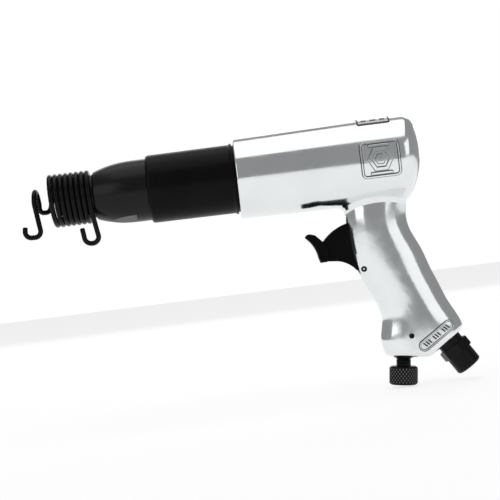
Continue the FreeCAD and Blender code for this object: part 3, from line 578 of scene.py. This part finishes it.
def emblem_height(u, v):
    """Raised frame with round corners, round a plain hexagon ring between two bars."""
    frame_edge = box_distance(u, v, 13.2 * MM, 12.0 * MM, 3.6 * MM)
    hexagon = np.maximum(np.abs(v), np.abs(v) * 0.5 + np.abs(u) * 0.866) - 7.2 * MM
    edge = 0.5 * MM
    height = 0.10 * MM * np.ones_like(u)
    height += 0.75 * MM * band(frame_edge, -1.4 * MM, -0.5 * MM, edge)
    height += 0.70 * MM * band(hexagon, -1.9 * MM, 0.0, edge)
    height += 0.70 * MM * band(hexagon, -9 * MM, -4.3 * MM, edge)
    for side in (-1, 1):
        bar = box_distance(u, v - side * 9.0 * MM, 7.0 * MM, 0.6 * MM, 0.4 * MM)
        height += 0.65 * MM * band(bar, -9 * MM, 0.0, edge)
    return height - 0.75 * MM * smooth_step(frame_edge, 0.0, 0.6 * MM), np.zeros_like(u)


def pad_height(u, v):
    """Stadium-shaped pad with a rim and a row of short plain marks, which are darkened."""
    rim = box_distance(u, v, 14.0 * MM, 3.7 * MM, 3.7 * MM)
    height = 0.32 * MM + 0.45 * MM * band(rim, -0.9 * MM, -0.35 * MM, 0.3 * MM)
    # The marks' tops are darkened through the shade attribute.
    darkened_marks = np.zeros_like(u)
    for i in range(-5, 6):
        if i not in (-2, 2):
            mark = box_distance(u - i * 1.9 * MM + 0.25 * v, v, 0.28 * MM, 1.5 * MM, 0.2 * MM)
            darkened_marks = np.maximum(darkened_marks, band(mark, -9 * MM, 0.0, 0.2 * MM))
    return height + 0.35 * MM * darkened_marks - 0.9 * MM * smooth_step(rim, 0.0, 0.7 * MM), darkened_marks


def slope_shade(heights, step):
    """0 on level ground to 1 on the steep sides of raised marks, the painted shade that darkens those
    sides.
    """
    down_u, down_v = np.gradient(heights, step)
    return smooth_step(np.hypot(down_u, down_v), 0.25, 0.9)


def raised_patch(name, centre_x, centre_z, tilt, half_u, half_v, step, height_of, skirt):
    """Closed patch on the housing's near side, whose height above the surface is a function."""
    housing = nodes["handle_housing"]
    tree = BVHTree.FromObject(housing, bpy.context.evaluated_depsgraph_get())
    across = np.arange(-half_u, half_u + step / 2, step)
    upward = np.arange(-half_v, half_v + step / 2, step)
    u, v = np.meshgrid(across, upward, indexing="ij")
    x = centre_x + u * math.cos(tilt) - v * math.sin(tilt)
    z = centre_z + u * math.sin(tilt) + v * math.cos(tilt)
    y = np.zeros_like(x)
    for i in range(x.shape[0]):
        for j in range(x.shape[1]):
            hit = tree.ray_cast(Vector((x[i, j], -0.1, z[i, j])), Vector((0, 1, 0)))[0]
            y[i, j] = hit.y
    surface_points = np.stack([x, y, z], axis=-1)
    normals = np.cross(np.gradient(surface_points, axis=0), np.gradient(surface_points, axis=1))
    normals /= np.linalg.norm(normals, axis=-1, keepdims=True)
    normals *= -np.sign(normals[..., 1:2])
    heights, darkened_marks = height_of(u, v)
    top = surface_points + normals * heights[..., None]
    bottom = surface_points - normals * skirt
    rows, columns = x.shape
    verts = np.concatenate([top.reshape(-1, 3), bottom.reshape(-1, 3)])
    faces = []
    below = rows * columns
    for i in range(rows - 1):
        for j in range(columns - 1):
            a = i * columns + j
            quad = (a, a + columns, a + columns + 1, a + 1)
            faces.append(quad)
            faces.append(tuple(below + k for k in reversed(quad)))
    border = [i * columns for i in range(rows)]
    border += [(rows - 1) * columns + j for j in range(1, columns)]
    border += [i * columns + columns - 1 for i in range(rows - 2, -1, -1)]
    border += [j for j in range(columns - 2, 0, -1)]
    for a, b in zip(border, border[1:] + border[:1]):
        faces.append((a, b, below + b, below + a))
    piece = mesh_object(name, verts, faces, relief)
    # Painted shade on the steep sides of the raised marks, together with the pad's darkened marks.
    shade = np.maximum(slope_shade(heights, step), darkened_marks)
    store_shade(piece, np.concatenate([shade.ravel(), np.zeros(below)]))
    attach(piece, "tool_body")


# ---------------------------------------------------------------- pin holes
def hole_shade_ring(name, centre_x, centre_z, inner_r, outer_r, floor_y, side):
    """Dark ring in a cross hole, from its floor to just below the housing's surface: painted shade, a black
    sheet where the hole is only in shadow.
    """
    tree = BVHTree.FromObject(nodes["handle_housing"], bpy.context.evaluated_depsgraph_get())
    count = 40
    floor_rings = ([], [])
    top_rings = ([], [])
    for i in range(count):
        turn = 2 * math.pi * i / count
        spoke = Vector((math.cos(turn), 0, math.sin(turn)))
        centre = Vector((centre_x, 0, centre_z))
        eye = centre + spoke * (outer_r + SHADE_RING_REACH) + Vector((0, side * 0.1, 0))
        rim_y = tree.ray_cast(eye, Vector((0, -side, 0)))[0].y - side * SHADE_RING_SINK
        for ring, radius in enumerate((inner_r, outer_r)):
            point = centre + spoke * radius
            floor_rings[ring].append(Vector((point.x, side * floor_y, point.z)))
            top_rings[ring].append(Vector((point.x, rim_y, point.z)))
    rings = [floor_rings[0], top_rings[0], top_rings[1], floor_rings[1]]
    verts = [vert for ring in rings for vert in ring]
    faces = []
    for ring in range(4):
        low = ring * count
        high = (ring + 1) % 4 * count
        for i in range(count):
            j = (i + 1) % count
            faces.append((low + i, low + j, high + j, high + i))
    # The seal rubber here is painted shade; no part sits in the hole.
    piece = mesh_object(name, verts, faces, seal, smooth=False)
    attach(piece, "tool_body")


retainer_wire()
regulator_knob()
inlet_thread()
throttle_spring()
# The black rings in the pin holes are painted shade.
for side, label in ((-1, "near"), (1, "far")):
    hole_shade_ring("pivot_shade_ring_" + label, PIVOT_X, PIVOT_Z, 1.54 * MM, 1.93 * MM, 7.25 * MM, side)
    hole_shade_ring("pin_shade_ring_" + label, REG_PIN_X, REG_PIN_Z, 1.40 * MM, 1.78 * MM, 11.05 * MM, side)
raised_patch("side_emblem", 211.3 * MM, 0.0, 0.0, 14.0 * MM, 12.9 * MM, 0.22 * MM, emblem_height, 0.9 * MM)
raised_patch("inlet_pad", 234.7 * MM, -120.0 * MM, math.atan2(0.537, 0.843), 14.8 * MM, 4.5 * MM, 0.16 * MM,
             pad_height, 0.9 * MM)


# ---------------------------------------------------------------- camera and light
def add_camera():
    """A camera level with the tool on its near side, rolled so that the nose points down a little."""
    data = bpy.data.cameras.new("camera")
    data.sensor_width = SENSOR_WIDTH
    data.lens = SENSOR_WIDTH * CAMERA_DISTANCE / VIEW_WIDTH
    data.clip_end = 20.0
    camera = bpy.data.objects.new("camera", data)
    place = Matrix.Translation(CAMERA_TARGET + Vector((0, -CAMERA_DISTANCE, 0)))
    level = Matrix.Rotation(math.radians(90), 4, "X")
    camera.matrix_world = place @ level @ Matrix.Rotation(-CAMERA_ROLL, 4, "Z")
    bpy.context.scene.collection.objects.link(camera)
    bpy.context.scene.camera = camera


# Softboxes round the tool: name, place, size in metres and power in watts. Each one lights every part.
SOFTBOXES = [
    ("overhead_softbox", (0.12, 0.0, 1.2), (1.6, 1.2), 6.0),
    ("near_left_softbox", (-0.9, -1.1, 0.5), (1.0, 1.0), 3.5),
    ("near_right_softbox", (1.1, -1.1, 0.5), (1.0, 1.0), 2.5),
    ("far_softbox", (0.12, 1.4, 0.5), (1.4, 1.0), 4.5),
]
ROOM_LIGHT = 0.3                 # even grey light from the room itself
BACKDROP_TONE = 1.0              # what the camera sees behind the tool, as white as the floor near it
FLOOR_GLOW = 0.75
FLOOR_TONE = 0.3
FLOOR_SIDE = 6.0
FLOOR_GAP = 0.4 * MM             # between the floor and the tool's lowest point


def add_room():
    """The same grey light from every side; the camera sees a plain pale backdrop."""
    world = bpy.data.worlds.new("studio")
    bpy.context.scene.world = world
    world.use_nodes = True
    tree = Nodes(world.node_tree)
    room = tree.add("Background")
    room.inputs["Color"].default_value = (1, 1, 1, 1)
    room.inputs["Strength"].default_value = ROOM_LIGHT
    backdrop = tree.add("Background")
    backdrop.inputs["Color"].default_value = (1, 1, 1, 1)
    backdrop.inputs["Strength"].default_value = BACKDROP_TONE
    chosen = tree.add("MixShader")
    tree.link(tree.add("LightPath").outputs["Is Camera Ray"], chosen.inputs["Fac"])
    tree.link(room.outputs[0], chosen.inputs[1])
    tree.link(backdrop.outputs[0], chosen.inputs[2])
    output = tree.add("OutputWorld")
    tree.link(chosen.outputs[0], output.inputs["Surface"])


def add_softbox(name, place, size, power):
    """Large soft light aimed at the tool."""
    data = bpy.data.lights.new(name, "AREA")
    data.shape = "RECTANGLE"
    data.size, data.size_y = size
    data.energy = power
    softbox = bpy.data.objects.new(name, data)
    aim = (CAMERA_TARGET - Vector(place)).to_track_quat("-Z", "Y")
    softbox.matrix_world = Matrix.Translation(place) @ aim.to_matrix().to_4x4()
    bpy.context.scene.collection.objects.link(softbox)


def add_floor():
    """Plain pale floor under the tool's lowest point, with a glow that keeps its far end pale."""
    lowest = CAD_BOX[0][2] - FLOOR_GAP
    mesh = bpy.data.meshes.new("floor")
    half = FLOOR_SIDE / 2
    corners = [(-half, -half, lowest), (half, -half, lowest), (half, half, lowest), (-half, half, lowest)]
    mesh.from_pydata(corners, [], [(0, 1, 2, 3)])
    floor = bpy.data.objects.new("floor", mesh)
    bpy.context.scene.collection.objects.link(floor)
    material, tree, shader, place = new_material("floor_white")
    shader.inputs["Base Color"].default_value = grey(FLOOR_TONE)
    shader.inputs["Roughness"].default_value = 0.9
    shader.inputs["Emission Color"].default_value = (1, 1, 1, 1)
    shader.inputs["Emission Strength"].default_value = FLOOR_GLOW
    mesh.materials.append(material)


add_camera()
add_room()
add_floor()
for softbox in SOFTBOXES:
    add_softbox(*softbox)
bpy.context.scene.view_settings.view_transform = "Standard"
